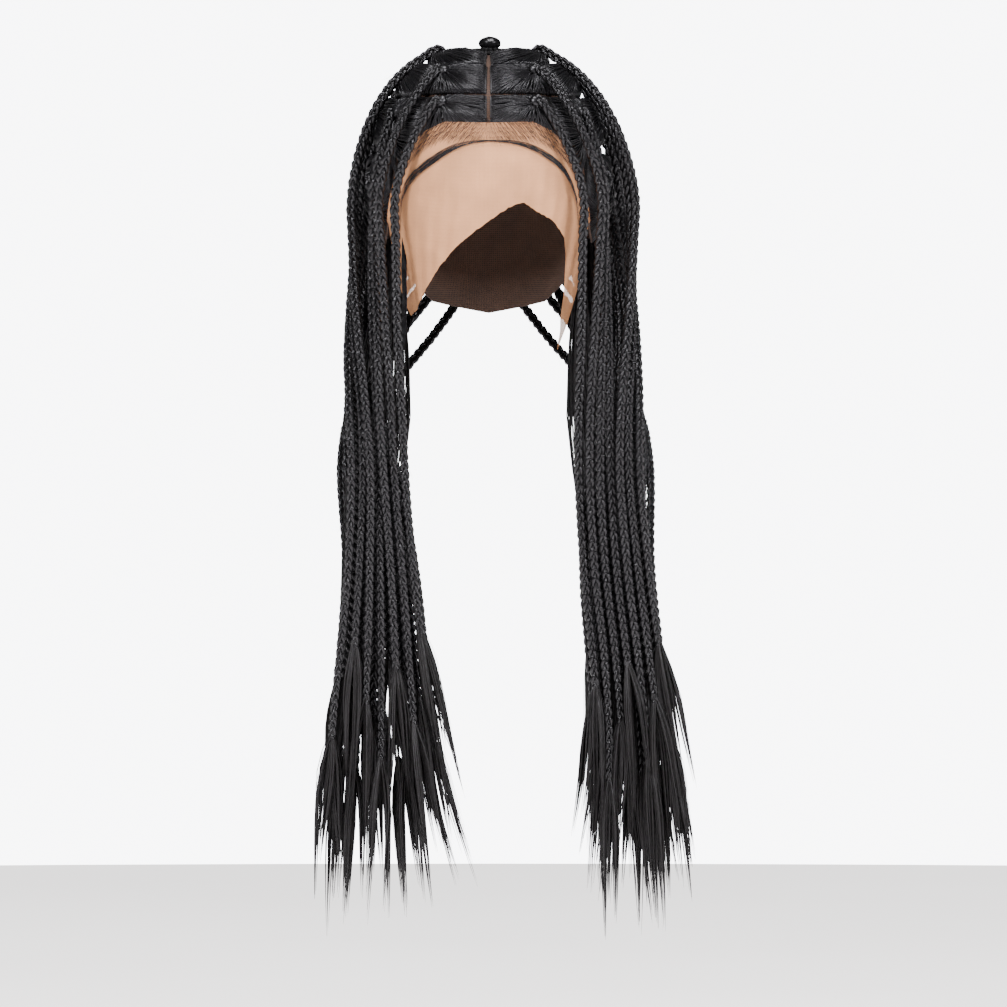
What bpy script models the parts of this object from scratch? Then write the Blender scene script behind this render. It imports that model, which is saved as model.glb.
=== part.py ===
"""A long box-braid wig on a lace cap, in the form that it has when it is worn.

Metres, +Z up. The face looks along -Y and the wearer's left is +X. The origin is the seat:
the inner top of the cap, where it rests on the crown of the head.
"""

import math

import bpy
import numpy as np

# Driving sizes of the head that the cap fits
HEAD_HALF_WIDTH = 0.078
HEAD_HALF_LENGTH = 0.099
CROWN_DROP = 0.100
NAPE_DROP = 0.115
NAPE_TAPER = 0.30
NAPE_POWER = 1.5
DOME_POWER = 2.4
NECK_RADIUS = 0.062

# Driving sizes of the wig
CAP_WALL = 0.0012
LACE_WALL = 0.0010
PAD_HEIGHT = 0.0026
PAD_SEAT = 0.0008
PART_WIDTH = 0.0026
EDGE_BAND = 0.0040
GAP = 0.0004
BRAID_RADIUS = 0.0037
BRAID_END_RADIUS = 0.0028
LOOSE_RADIUS = 0.0042
TIP_RADIUS = 0.0009
HAIR_DROP = 0.620
STALK = 0.0038

# Fullness: the lift of each ring of braids over the next one down, and how the lift grows towards the widest level
LAYER_LIFT = {"right": 0.0042, "left": 0.0068}
BACK_FULLNESS = 0.35
LIFT_POWER = 2.2

# The cap's lower edge. Columns: azimuth in degrees from the face, drop as a share of CROWN_DROP
CAP_COLUMNS = 36
CAP_RINGS = 7
CAP_EDGE = (
    (0, 0.52), (20, 0.51), (30, 0.57), (40, 0.69), (50, 0.90), (60, 1.18), (70, 1.32), (80, 1.27),
    (90, 1.14), (100, 1.12), (110, 1.19), (120, 1.33), (130, 1.50), (150, 1.71), (180, 1.79),
)

# The uncut edge of the front lace. Columns: azimuth, to the wearer's right negative, and drop as a share of CROWN_DROP
LACE_EDGE = (
    (-60, 1.62), (-52, 1.84), (-44, 1.80), (-36, 1.70), (-24, 1.52), (-12, 1.34), (-4, 1.24), (8, 1.10),
    (14, 1.06), (22, 1.13), (30, 1.19), (38, 1.30), (42, 1.52), (46, 1.86), (51, 2.08), (56, 1.86), (60, 1.62),
)
LACE_SPAN = 60
LACE_COLUMNS = 31
LACE_ROWS = 6

# Rings of parted hair on one side. Columns: name, first and last polar angle, azimuths of the parts between sections
RINGS = (
    ("crown", 13, 28, (0, 112, 180)),
    ("upper", 30, 50, (0, 48, 92, 136, 180)),
    ("middle", 52, 74, (0, 33, 64, 94, 124, 152, 180)),
    ("side", 76, 97, (52, 77, 102, 128, 154, 180)),
    ("behind_ear", 99, 121, (116, 137, 158, 180)),
    ("nape", 123, 150, (142, 161, 180)),
)
LAST_UPPER_RING = 3

# The round section on the crown, and its braid's root as azimuth, polar angle and the ring whose lift it shares
TOP_PAD_POLAR = 11
TOP_PAD_COLUMNS = 10
TOP_PAD_FALL = 0.55
TOP_ROOT = (176, 4, LAST_UPPER_RING)

# Height of a section of hair, as a share of PAD_HEIGHT: by nearness to its braid, then by share of its length
SECTION_RISE = ((0.0, 0.30), (0.5, 0.75), (1.0, 1.0))
SECTION_ROWS = ((0.0, 0.45), (0.38, 1.0), (0.70, 0.85), (1.0, 0.40))
BRAID_PLACE = 0.67
BRAID_ROW = 1
WIDEST_STEP = 11
LEAST_STEPS = 3

# The two hanging bundles. Columns: drop as a share of HAIR_DROP, then as shares of HEAD_HALF_WIDTH the inner
# and outer side to the wearer's right and to the left, then the front as a share of HEAD_HALF_LENGTH
BUNDLES = (
    (0.28, 0.80, 1.22, 0.78, 1.40, 0.80),
    (0.48, 0.76, 1.20, 0.78, 1.33, 0.84),
    (0.62, 0.60, 1.30, 0.84, 1.48, 0.86),
    (0.72, 0.48, 1.42, 0.96, 1.63, 0.88),
    (0.86, 0.42, 1.50, 0.90, 1.78, 0.90),
    (1.00, 0.38, 1.56, 0.80, 1.94, 0.94),
)
BUNDLE_COLUMNS = 7
STAGGER = 0.5
ROW_DEPTH = 2.1

# Azimuths at which the front and the rearmost braid cross the widest level
FIRST_EXIT = 40
LAST_EXIT = 176

# Drops, as shares of HAIR_DROP, where the front and the rearmost braid reach the bundle, and where the neck ends
FIRST_SETTLE = 0.42
LAST_SETTLE = 0.56
NECK_SHARE = 0.50

# Where braiding stops and where the loose hair ends, as shares of HAIR_DROP, and where the loose hair is widest
SHORTEST_BRAID = 0.655
BRAID_SPREAD = 0.165
LOOSE_SHARE = 0.185
FLARE_SHARE = 0.35
GOLDEN = 0.618034
SPREAD_START = {"right": 0.0, "left": 0.37}

# Levels at which the braids' routes are worked out, and how many of them lie between two points of a tube
FIRST_POLAR = 12
DOME_LEVELS = 14
DOME_STEP = 2
LEVELS = 53
NECK_STEP = 3
FREE_STEP = 6
LEAST_STRETCH = 1.4

# How the routes settle: rounds, the share of them that smooth, and the strength of each influence
RELAXING_ROUNDS = 160
SMOOTHING_SHARE = 0.85
PUSH = 0.4
SMOOTHING = 0.5
HOMING = 0.02
MOST_SLANT = 1.7

# Spacing of the points at which neighbouring braids are measured, and how many are measured at once
MEASURE_STEP = 0.0025
MEASURE_BLOCK = 60

SHARP_ANGLE = 50
SIDES = {"right": -1, "left": 1}


def horizontal_reach(azimuth, offset):
    """Distance from the vertical axis to the widest level's ellipse, grown by offset, at an azimuth in degrees."""
    across = math.sin(math.radians(azimuth)) / (HEAD_HALF_WIDTH + offset)
    along = math.cos(math.radians(azimuth)) / (HEAD_HALF_LENGTH + offset)
    return 1 / math.hypot(across, along)


def dome(azimuth, polar, offset=0.0):
    """Point on the head at an azimuth from the face and a polar angle from the crown, lifted by offset."""
    if polar <= 90:
        across = math.sin(math.radians(polar)) ** (2 / DOME_POWER)
        up = math.cos(math.radians(polar)) ** (2 / DOME_POWER) if polar < 90 else 0.0
        height = -CROWN_DROP + (CROWN_DROP + offset) * up
    else:
        below = (polar - 90) / 90
        across = 1 - NAPE_TAPER * below**NAPE_POWER
        height = -CROWN_DROP - NAPE_DROP * below
    reach = horizontal_reach(azimuth, offset) * across
    angle = math.radians(azimuth)
    return np.array((reach * math.sin(angle), -reach * math.cos(angle), height))


def polar_at_drop(drop):
    """Polar angle at which the head's surface is a given drop below the crown."""
    if drop >= CROWN_DROP:
        return 90 + 90 * (drop - CROWN_DROP) / NAPE_DROP
    return math.degrees(math.acos((1 - drop / CROWN_DROP) ** (DOME_POWER / 2)))


def table_value(table, key, column=1):
    """Value of a column of a table at a key, straight between its rows."""
    return float(np.interp(key, [row[0] for row in table], [row[column] for row in table]))


def eased(share):
    """A share from 0 to 1 that starts and ends gently."""
    share = min(1.0, max(0.0, share))
    return share * share * (3 - 2 * share)


def cap_edge_polar(azimuth):
    """Polar angle of the cap's lower edge, the same on both sides, straight between the cap's columns."""
    turned = abs((azimuth + 180) % 360 - 180)
    step = 360 / CAP_COLUMNS
    before = min(step * int(turned / step), 180 - step)
    first, second = (polar_at_drop(table_value(CAP_EDGE, at) * CROWN_DROP) for at in (before, before + step))
    return first + (second - first) * (turned - before) / step


def make_material(name, colour, roughness, alpha=1.0):
    material = bpy.data.materials.new(name)
    material.use_nodes = True
    shader = material.node_tree.nodes["Principled BSDF"]
    shader.inputs["Base Color"].default_value = (*colour, 1.0)
    shader.inputs["Roughness"].default_value = roughness
    shader.inputs["Metallic"].default_value = 0.0
    shader.inputs["Alpha"].default_value = alpha
    return material


def grid_faces(rows, columns, around=False):
    """Quads of a grid of points listed row by row. A grid that goes around joins its last column to its first."""
    steps = columns if around else columns - 1
    return [
        (
            row * columns + step,
            row * columns + (step + 1) % columns,
            (row + 1) * columns + (step + 1) % columns,
            (row + 1) * columns + step,
        )
        for row in range(rows - 1)
        for step in range(steps)
    ]


def shell(name, faces, inner, outer, material):
    """Closed solid between two layers of points that share one list of faces, walled along their free edges."""
    count = len(inner)
    used = {pair for face in faces for pair in zip(face, face[1:] + face[:1])}
    rim = sorted(pair for pair in used if pair[::-1] not in used)
    upper = [tuple(point + count for point in face) for face in faces]
    lower = [tuple(reversed(face)) for face in faces]
    walls = [(end, end + count, start + count, start) for start, end in rim]
    mesh = bpy.data.meshes.new(name)
    mesh.from_pydata([tuple(point) for point in (*inner, *outer)], [], upper + lower + walls)
    mesh.materials.append(material)
    mesh.shade_smooth()
    mesh.set_sharp_from_angle(angle=math.radians(SHARP_ANGLE))
    solid = bpy.data.objects.new(name, mesh)
    bpy.context.scene.collection.objects.link(solid)
    return solid


def from_pole(rings, azimuths, polar_of, offset_of):
    """Points and faces of a surface that starts at the crown and spreads in rings to a free edge."""
    columns = len(azimuths)
    points = [dome(0, 0, offset_of(0))]
    for ring in range(1, rings + 1):
        for azimuth in azimuths:
            polar = polar_of(azimuth) * ring / rings
            points.append(dome(azimuth, polar, offset_of(ring / rings)))
    fan = [(0, 1 + (step + 1) % columns, 1 + step) for step in range(columns)]
    quads = [tuple(corner + 1 for corner in face) for face in grid_faces(rings, columns, True)]
    return points, [tuple(reversed(face)) for face in fan + quads]


def make_cap(material):
    """The hollow lace cap, open below and at the face, with dips for the ears."""
    azimuths = [360 * step / CAP_COLUMNS for step in range(CAP_COLUMNS)]
    inner, faces = from_pole(CAP_RINGS, azimuths, cap_edge_polar, lambda share: 0.0)
    outer, faces = from_pole(CAP_RINGS, azimuths, cap_edge_polar, lambda share: CAP_WALL)
    return shell("lace_cap", faces, inner, outer, material)


def make_front_lace(material):
    """The uncut lace that runs on from the hairline over the forehead and down in front of the ears."""
    azimuths = [-LACE_SPAN + 2 * LACE_SPAN * step / (LACE_COLUMNS - 1) for step in range(LACE_COLUMNS)]
    seam = math.degrees(2 * GAP / CROWN_DROP)
    inner = []
    outer = []
    for row in range(LACE_ROWS):
        for azimuth in azimuths:
            top = cap_edge_polar(azimuth) + seam
            bottom = polar_at_drop(table_value(LACE_EDGE, azimuth) * CROWN_DROP)
            polar = top + (bottom - top) * row / (LACE_ROWS - 1)
            inner.append(dome(azimuth, polar))
            outer.append(dome(azimuth, polar, LACE_WALL))
    faces = [tuple(reversed(face)) for face in grid_faces(LACE_ROWS, LACE_COLUMNS)]
    return shell("front_lace", faces, inner, outer, material)


def section_bounds(ring, index):
    """Azimuths of the two sides of a section of hair, half a parting in from the parts beside it."""
    name, top, bottom, parts = ring
    first, last = parts[index], parts[index + 1]
    middle = (first + last) / 2
    around = np.linalg.norm(dome(middle, (top + min(bottom, cap_edge_polar(middle))) / 2)[:2])
    inset = math.degrees(PART_WIDTH / 2 / around)
    if index == 0:
        first += inset
    if index == len(parts) - 2:
        last -= inset
    return first, last


def section_polar(ring, azimuth, share):
    """Polar angle at a share of the way down a ring of hair, which stops short of the cap's edge."""
    edge = cap_edge_polar(azimuth) - math.degrees(EDGE_BAND / CROWN_DROP)
    bottom = min(ring[2], edge)
    return ring[1] + (bottom - ring[1]) * share


def section_columns(ring):
    """Azimuth and height share of each column of points over one side's ring, and the azimuths of its braids."""
    columns = []
    peaks = []
    for index in range(len(ring[3]) - 1):
        first, last = section_bounds(ring, index)
        steps = max(LEAST_STEPS, math.ceil((last - first) / WIDEST_STEP))
        peak = round(steps * BRAID_PLACE)
        for step in range(1 if index else 0, steps + 1):
            nearness = step / peak if step <= peak else (steps - step) / (steps - peak)
            columns.append((first + (last - first) * step / steps, table_value(SECTION_RISE, nearness)))
        peaks.append(first + (last - first) * peak / steps)
    return columns, peaks


def section_peaks():
    """Azimuth, polar angle and ring number of the place on one side where each section gathers into its braid."""
    places = []
    for number, ring in enumerate(RINGS):
        for azimuth in section_columns(ring)[1]:
            places.append((azimuth, section_polar(ring, azimuth, SECTION_ROWS[BRAID_ROW][0]), number))
    return sorted(places)


def make_panel(side, ring, material):
    """One side's ring of hair, swept flat from its parts and swelling towards each braid."""
    columns = section_columns(ring)[0]
    seat = CAP_WALL + PAD_SEAT
    inner = []
    outer = []
    for share, row_height in SECTION_ROWS:
        for azimuth, column_height in columns:
            polar = section_polar(ring, azimuth, share)
            turned = azimuth * SIDES[side]
            inner.append(dome(turned, polar, seat))
            outer.append(dome(turned, polar, seat + PAD_HEIGHT * row_height * column_height))
    faces = grid_faces(len(SECTION_ROWS), len(columns))
    if side == "left":
        faces = [tuple(reversed(face)) for face in faces]
    return shell(f"hair_panel_{side}_{ring[0]}", faces, inner, outer, material)


def make_top_panel(material):
    """The small round section on the crown, where the two halves of the middle parting meet."""
    azimuths = [360 * step / TOP_PAD_COLUMNS for step in range(TOP_PAD_COLUMNS)]
    seat = CAP_WALL + PAD_SEAT

    def edge(azimuth):
        return TOP_PAD_POLAR

    def swelling(share):
        return seat + PAD_HEIGHT * (1 - TOP_PAD_FALL * share)

    inner, faces = from_pole(2, azimuths, edge, lambda share: seat)
    outer, faces = from_pole(2, azimuths, edge, swelling)
    return shell("hair_panel_top", faces, inner, outer, material)


def outward(azimuth, polar):
    """Direction square to the head's surface."""
    across = dome(azimuth + 1, polar) - dome(azimuth - 1, polar)
    down = dome(azimuth, polar + 1) - dome(azimuth, polar - 1)
    square = np.cross(down, across)
    return square / np.linalg.norm(square)


def hold(root, lift=STALK):
    """End of the short stalk that stands on a section of hair at a braid's root."""
    azimuth, polar, ring = root
    return dome(azimuth, polar, CAP_WALL + PAD_SEAT + PAD_HEIGHT) + outward(azimuth, polar) * (GAP + lift)


def lying_height():
    """Height over the head at which a braid's middle lies when it rests on the scalp hair."""
    return CAP_WALL + PAD_SEAT + PAD_HEIGHT + GAP + BRAID_RADIUS


def mean_reach(polar):
    """Radius of the head's mean circle at a polar angle above the widest level."""
    return (HEAD_HALF_WIDTH + HEAD_HALF_LENGTH) / 2 * math.sin(math.radians(polar)) ** (2 / DOME_POWER)


def over_dome(side, roots):
    """Points of one side's upper braids from knot to widest level, where they leave evenly fanned out."""
    polars = [FIRST_POLAR + (90 - FIRST_POLAR) * step / (DOME_LEVELS - 1) for step in range(DOME_LEVELS)]
    lowest = lying_height()
    places = np.zeros((DOME_LEVELS, len(roots), 2))
    alive = np.zeros((DOME_LEVELS, len(roots)), bool)
    fixed = np.zeros((DOME_LEVELS, len(roots)), bool)
    half_step = (polars[1] - polars[0]) / 2
    for order, (azimuth, polar, ring) in enumerate(roots):
        leave = FIRST_EXIT + (LAST_EXIT - FIRST_EXIT) * order / (len(roots) - 1)
        fullness = BACK_FULLNESS + (1 - BACK_FULLNESS) * math.sin(math.radians(leave))
        lift = LAYER_LIFT[side] * (LAST_UPPER_RING - ring) * fullness
        for level, at in enumerate(polars):
            share = min(1.0, max(0.0, (at - polar) / (90 - polar)))
            turned = azimuth + (leave - azimuth) * math.sin(share * math.pi / 2)
            places[level, order] = (math.radians(turned) * mean_reach(at), lowest + lift * share**LIFT_POWER)
            alive[level, order] = at > polar - half_step
            fixed[level, order] = abs(at - polar) <= half_step
    rise = math.radians(polars[1] - polars[0]) * CROWN_DROP

    def stay(moved):
        moved[..., 1] = np.maximum(moved[..., 1], lowest)
        return moved

    places = relax(places, alive, fixed, rise, stay)
    routes = []
    for order, root in enumerate(roots):
        points = [hold(root, 0.0), hold(root)]
        levels = [level for level, at in enumerate(polars) if at > root[1] + LEAST_STRETCH * half_step]
        for level in levels[(len(levels) - 1) % DOME_STEP::DOME_STEP]:
            across, offset = places[level, order]
            points.append(dome(math.degrees(across / mean_reach(polars[level])), polars[level], offset))
        routes.append(points)
    return routes


def bundle_slot(side, order, drop):
    """Place of one braid in its bundle at a drop below the crown, in rows that fold back and forth."""
    share = drop / HAIR_DROP
    first = 1 if side == "right" else 3
    inner = table_value(BUNDLES, share, first) * HEAD_HALF_WIDTH + BRAID_RADIUS
    outer = table_value(BUNDLES, share, first + 1) * HEAD_HALF_WIDTH - BRAID_RADIUS
    front = table_value(BUNDLES, share, 5) * HEAD_HALF_LENGTH
    row, place = divmod(order, BUNDLE_COLUMNS)
    if row % 2:
        place = BUNDLE_COLUMNS - 1 - STAGGER - place
    across = max(0.0, place / (BUNDLE_COLUMNS - 1))
    return inner + (outer - inner) * across, ROW_DEPTH * BRAID_RADIUS * row - front


def hanging_levels():
    """Heights at which every braid's place is worked out, from just under the widest level to the longest tip."""
    top = CROWN_DROP + BRAID_RADIUS
    return [top + (HAIR_DROP - top) * step / (LEVELS - 1) for step in range(LEVELS)]


def hang(side, starts):
    """Places of one side's braids at each level, as an array of levels, braids and (sideways, back)."""
    drops = hanging_levels()
    half_step = (drops[1] - drops[0]) / 2
    places = np.zeros((LEVELS, len(starts), 2))
    alive = np.zeros((LEVELS, len(starts)), bool)
    fixed = np.zeros((LEVELS, len(starts)), bool)
    for order, start in enumerate(starts):
        begin = math.atan2(start[0], -start[1])
        reach = math.hypot(start[0], start[1])
        settle = HAIR_DROP * (FIRST_SETTLE + (LAST_SETTLE - FIRST_SETTLE) * order / len(starts))
        for level, drop in enumerate(drops):
            alive[level, order] = drop > -start[2] - half_step
            fixed[level, order] = abs(drop + start[2]) <= half_step
            slot = bundle_slot(side, order, max(drop, settle))
            share = eased((drop + start[2]) / (settle + start[2]))
            angle = begin + (math.atan2(slot[0], -slot[1]) - begin) * share
            radius = reach + (math.hypot(*slot) - reach) * share
            places[level, order] = (radius * math.sin(angle), -radius * math.cos(angle))
    neck = np.where(np.array(drops) < NECK_SHARE * HAIR_DROP, NECK_RADIUS + BRAID_RADIUS, 0.0)[:, None]
    below = np.clip((np.array(drops) - CROWN_DROP) / NAPE_DROP, 0, 1)
    taper = np.where(below < 1, 1 - NAPE_TAPER * below**NAPE_POWER, 0.0)[:, None]
    lowest = lying_height()

    def stay(moved):
        angle = np.arctan2(moved[..., 0], -moved[..., 1])
        across = np.sin(angle) / (HEAD_HALF_WIDTH + lowest)
        lengthwise = np.cos(angle) / (HEAD_HALF_LENGTH + lowest)
        least = np.maximum(neck, taper / np.hypot(across, lengthwise))
        reach = np.maximum(np.linalg.norm(moved, axis=2), GAP)
        moved = moved * np.maximum(1.0, least / reach)[..., None]
        moved[..., 0] = np.maximum(moved[..., 0], BRAID_RADIUS + GAP)
        return moved

    return relax(places, alive, fixed, drops[1] - drops[0], stay)


def relax(places, alive, fixed, rise, stay):
    """Push braids apart where they press on each other, and smooth each one along its length."""
    anchored = places.copy()
    pairs = alive[:, :, None] & alive[:, None, :] & ~np.eye(alive.shape[1], dtype=bool)
    smooth = (alive[1:-1] & alive[:-2])[..., None]
    for turn in range(RELAXING_ROUNDS):
        slant = np.ones(alive.shape)
        run = np.linalg.norm(np.diff(places, axis=0), axis=2)
        slant[1:] = np.where(alive[:-1], np.minimum(np.hypot(1, run / rise), MOST_SLANT), 1.0)
        spacing = (2 * BRAID_RADIUS + GAP) * np.maximum(slant[:, :, None], slant[:, None, :])
        apart = places[:, :, None, :] - places[:, None, :, :]
        distance = np.maximum(np.linalg.norm(apart, axis=3), GAP)
        press = np.where(pairs & (distance < spacing), (spacing - distance) / distance, 0.0)
        places = places + PUSH * (apart * press[..., None]).sum(axis=2)
        if turn < RELAXING_ROUNDS * SMOOTHING_SHARE:
            bend = (places[:-2] + places[2:]) / 2 - places[1:-1]
            places[1:-1] += np.where(smooth, SMOOTHING * bend, 0.0)
            places += HOMING * (anchored - places)
        places = np.where(fixed[..., None], anchored, stay(places))
    return places


def tube_drops(drops, top, braided, tip):
    """Drops at which a tube has its points: closer at the neck, then where braiding, the flare and the hair end."""
    clear = LEAST_STRETCH * (drops[1] - drops[0])
    neck_end = NECK_SHARE * HAIR_DROP
    kept = [drop for drop in drops if drop < neck_end][NECK_STEP::NECK_STEP]
    kept += [drop for drop in drops if drop >= neck_end][FREE_STEP - 1::FREE_STEP]
    kept = [drop for drop in kept if top + clear < drop < braided - clear]
    return [*kept, braided, braided + (tip - braided) * FLARE_SHARE, tip]


def side_routes(side):
    """Every braid of one side, front to back: its points from knot to tip, and the drops where it ends."""
    roots = section_peaks()
    if side == "left":
        roots.append(TOP_ROOT)
    upper = [root for root in roots if root[2] <= LAST_UPPER_RING]
    crossing = dict(zip(upper, over_dome(side, upper)))
    starts = [crossing.get(root, [hold(root, 0.0), hold(root)]) for root in roots]
    drops = hanging_levels()
    places = hang(side, [start[-1] for start in starts])
    routes = []
    for order, start in enumerate(starts):
        spread = (order * GOLDEN + SPREAD_START[side]) % 1.0
        braided = HAIR_DROP * (SHORTEST_BRAID + BRAID_SPREAD * spread)
        tip = min(HAIR_DROP, braided + HAIR_DROP * LOOSE_SHARE)
        points = list(start)
        for drop in tube_drops(drops, -start[-1][2], braided, tip):
            points.append([*(np.interp(drop, drops, places[:, order, axis]) for axis in (0, 1)), -drop])
        routes.append(([(SIDES[side] * float(x), float(y), float(z)) for x, y, z in points], braided, tip))
    return routes


def natural_radii(points, braided, tip):
    """Radius at each point of a braid before its neighbours press on it. The last three are the loose hair's."""
    plait = [BRAID_RADIUS + (BRAID_END_RADIUS - BRAID_RADIUS) * max(0.0, -z / braided) ** 2 for x, y, z in points[:-3]]
    return [*plait, BRAID_END_RADIUS, LOOSE_RADIUS, TIP_RADIUS]


def along(points):
    """Close points along a route, and the number of the stretch that each lies on."""
    line = []
    stretch = []
    for number, (start, end) in enumerate(zip(points[:-1], points[1:])):
        start, end = np.array(start), np.array(end)
        count = max(2, int(np.linalg.norm(end - start) / MEASURE_STEP))
        line += [start + (end - start) * part / count for part in range(count + 1)]
        stretch += [number] * (count + 1)
    return np.array(line), np.array(stretch)


def pressed_radii(routes):
    """Radius at each point of each route: its own, or less where the next braid lies close."""
    lines = [along(points) for points, braided, tip in routes]
    radii = []
    for own, (points, braided, tip) in enumerate(routes):
        line, stretch = lines[own]
        others = np.vstack([lines[other][0] for other in range(len(routes)) if other != own])
        near = np.empty(len(line))
        for block in range(0, len(line), MEASURE_BLOCK):
            apart = line[block:block + MEASURE_BLOCK, None, :] - others[None, :, :]
            near[block:block + MEASURE_BLOCK] = np.sqrt((apart**2).sum(axis=2).min(axis=1))
        row = []
        for number, radius in enumerate(natural_radii(points, braided, tip)):
            beside = (stretch == number) | (stretch == number - 1)
            row.append(float(min(radius, near[beside].min() / 2 - GAP)))
        radii.append(row)
    return radii


def make_braid(name, points, radii, material):
    """A braid with its loose end, as a tube along its route."""
    curve = bpy.data.curves.new(name, "CURVE")
    curve.dimensions = "3D"
    curve.bevel_depth = 1.0
    curve.bevel_resolution = 1
    curve.use_fill_caps = True
    spline = curve.splines.new("POLY")
    spline.points.add(len(points) - 1)
    for knot, point, radius in zip(spline.points, points, radii):
        knot.co = (*point, 1.0)
        knot.radius = radius
    curve.materials.append(material)
    braid = bpy.data.objects.new(name, curve)
    bpy.context.scene.collection.objects.link(braid)
    return braid


def main():
    for thing in list(bpy.data.objects):
        bpy.data.objects.remove(thing)
    hair = make_material("black_hair", (0.012, 0.011, 0.012), 0.42)
    lace = make_material("brown_lace", (0.19, 0.09, 0.05), 0.85)
    sheer = make_material("sheer_lace", (0.52, 0.34, 0.25), 0.8, alpha=0.45)
    make_cap(lace)
    make_front_lace(sheer)
    make_top_panel(hair)
    for side in SIDES:
        for ring in RINGS:
            make_panel(side, ring, hair)
    names = []
    routes = []
    for side in SIDES:
        for number, route in enumerate(side_routes(side), start=1):
            names.append(f"braid_{side}_{number:02d}")
            routes.append(route)
    for name, route, radii in zip(names, routes, pressed_radii(routes)):
        make_braid(name, route[0], radii, hair)


main()
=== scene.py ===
"""The finish of a long box-braid wig on its lace cap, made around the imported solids.

Metres, +Z up. The face looks along -Y and the wearer's left is +X.
"""

import math
import random

import bmesh
import bpy
from mathutils import Matrix, Vector


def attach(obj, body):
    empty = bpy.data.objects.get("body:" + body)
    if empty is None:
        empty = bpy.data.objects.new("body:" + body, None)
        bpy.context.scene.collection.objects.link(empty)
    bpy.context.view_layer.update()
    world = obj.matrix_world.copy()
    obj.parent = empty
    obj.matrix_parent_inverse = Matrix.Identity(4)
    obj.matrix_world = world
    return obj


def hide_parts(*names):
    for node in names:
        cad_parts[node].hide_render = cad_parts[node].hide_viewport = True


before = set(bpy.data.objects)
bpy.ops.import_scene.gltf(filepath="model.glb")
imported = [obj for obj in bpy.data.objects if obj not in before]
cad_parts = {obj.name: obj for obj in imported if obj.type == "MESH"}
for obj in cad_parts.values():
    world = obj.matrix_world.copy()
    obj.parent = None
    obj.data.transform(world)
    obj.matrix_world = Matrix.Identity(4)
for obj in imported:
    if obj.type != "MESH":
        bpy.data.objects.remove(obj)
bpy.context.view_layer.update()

# The head that the cap fits, as in the solids
HEAD_HALF_WIDTH = 0.078
HEAD_HALF_LENGTH = 0.099
CROWN_DROP = 0.100
NAPE_DROP = 0.115
NAPE_TAPER = 0.30
NAPE_POWER = 1.5
DOME_POWER = 2.4
CAP_WALL = 0.0012
PART_WIDTH = 0.0026
EDGE_BAND = 0.0040
MERGE = 0.00005
SMOOTH_ANGLE = 50
HEAD_TURN = 180 / math.pi

# The cap's lower edge. Columns: azimuth in degrees from the face, drop as a share of CROWN_DROP
CAP_EDGE = (
    (0, 0.52), (20, 0.51), (30, 0.57), (40, 0.69), (50, 0.90), (60, 1.18), (70, 1.32), (80, 1.27),
    (90, 1.14), (100, 1.12), (110, 1.19), (120, 1.33), (130, 1.50), (150, 1.71), (180, 1.79),
)

# The front lace's uncut edge. Columns: azimuth, minus on the wearer's right, drop as a share of CROWN_DROP
LACE_EDGE = (
    (-60, 1.62), (-52, 1.84), (-44, 1.80), (-36, 1.70), (-24, 1.52), (-12, 1.34), (-4, 1.24), (8, 1.10),
    (14, 1.06), (22, 1.13), (30, 1.19), (38, 1.30), (42, 1.52), (46, 1.86), (51, 2.08), (56, 1.86),
    (60, 1.62),
)

# The lace's grid and its unevenness. Its span, wander and reach under the hair are degrees
LACE_SPAN = 60
LACE_COLUMNS = 120
LACE_ROWS = 24
LACE_UNDER_HAIR = 0.3
LACE_WANDER = 0.35
LACE_LIFT = 0.0005
LACE_RIPPLE = 0.0004
LACE_SEAM = 0.04

# Rings of parted hair on one side. Columns: name, first and last polar angle, azimuths of the parts
RINGS = (
    ("crown", 13, 28, (0, 112, 180)),
    ("upper", 30, 50, (0, 48, 92, 136, 180)),
    ("middle", 52, 74, (0, 33, 64, 94, 124, 152, 180)),
    ("side", 76, 97, (52, 77, 102, 128, 154, 180)),
    ("behind_ear", 99, 121, (116, 137, 158, 180)),
    ("nape", 123, 150, (142, 161, 180)),
)
RING_BLEND = 8

# The hair on top of the head and its larger knot, which lies at an azimuth and a polar angle
TOP_POLAR = 11
TOP_KNOT = (176, 4)
TOP_KNOT_BRAID = "braid_left_23"
TOP_KNOT_SIZE = 1.55
TOP_KNOT_RISE = 0.0035
TOP_STRANDS = 120
TOP_GATHER = 0.92
TOP_DIP = 0.0004
TOP_RISE = 0.0008
TOP_PUFF = 0.0010

# The laid baby hair along the forehead. Columns: azimuth, drop as a share of CROWN_DROP, width of the band
SWOOPS = (
    (
        (3, 0.640, 0.0008), (-6, 0.645, 0.0018), (-13, 0.675, 0.0030), (-19, 0.720, 0.0040),
        (-26, 0.785, 0.0046), (-33, 0.850, 0.0044), (-39, 0.930, 0.0040), (-43, 1.03, 0.0036),
        (-46, 1.20, 0.0030), (-49, 1.40, 0.0026),
    ),
    (
        (-3, 0.640, 0.0008), (8, 0.645, 0.0020), (15, 0.665, 0.0034), (22, 0.705, 0.0044),
        (29, 0.765, 0.0046), (35, 0.835, 0.0040), (40, 0.925, 0.0032), (44, 1.04, 0.0026),
        (47, 1.18, 0.0020), (50, 1.36, 0.0012),
    ),
)
SWOOP_STRANDS = 44
SWOOP_STEPS = 14
SWOOP_WAVE = 0.6
SWOOP_LIFT = 0.0018
SWOOP_RADIUS = 0.00014

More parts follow.
